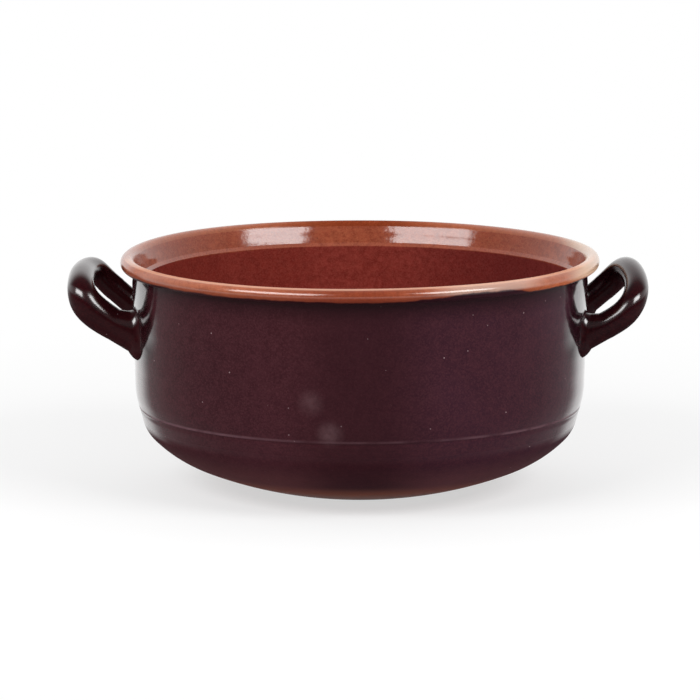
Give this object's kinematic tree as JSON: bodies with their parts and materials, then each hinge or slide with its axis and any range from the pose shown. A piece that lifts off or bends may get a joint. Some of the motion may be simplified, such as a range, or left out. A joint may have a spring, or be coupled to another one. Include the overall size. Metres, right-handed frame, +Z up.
{
  "type": "casserole pot",
  "caption": "Round glazed terracotta casserole pot with rolled rim, gently rounded base and looped coil handles.",
  "frame": {"origin": "middle of the flat base, at the level it rests on", "axes": "+Z up along the pot's axis, +X through the handles, +Y away from the viewer of the picture"},
  "size_m": [0.342, 0.28, 0.137],
  "materials": {
    "glazed_terracotta": "dark brown glaze outside, clear glaze over red-brown clay inside"
  },
  "bodies": {
    "root": {"casserole": "glazed_terracotta"}
  },
  "joints": []
}
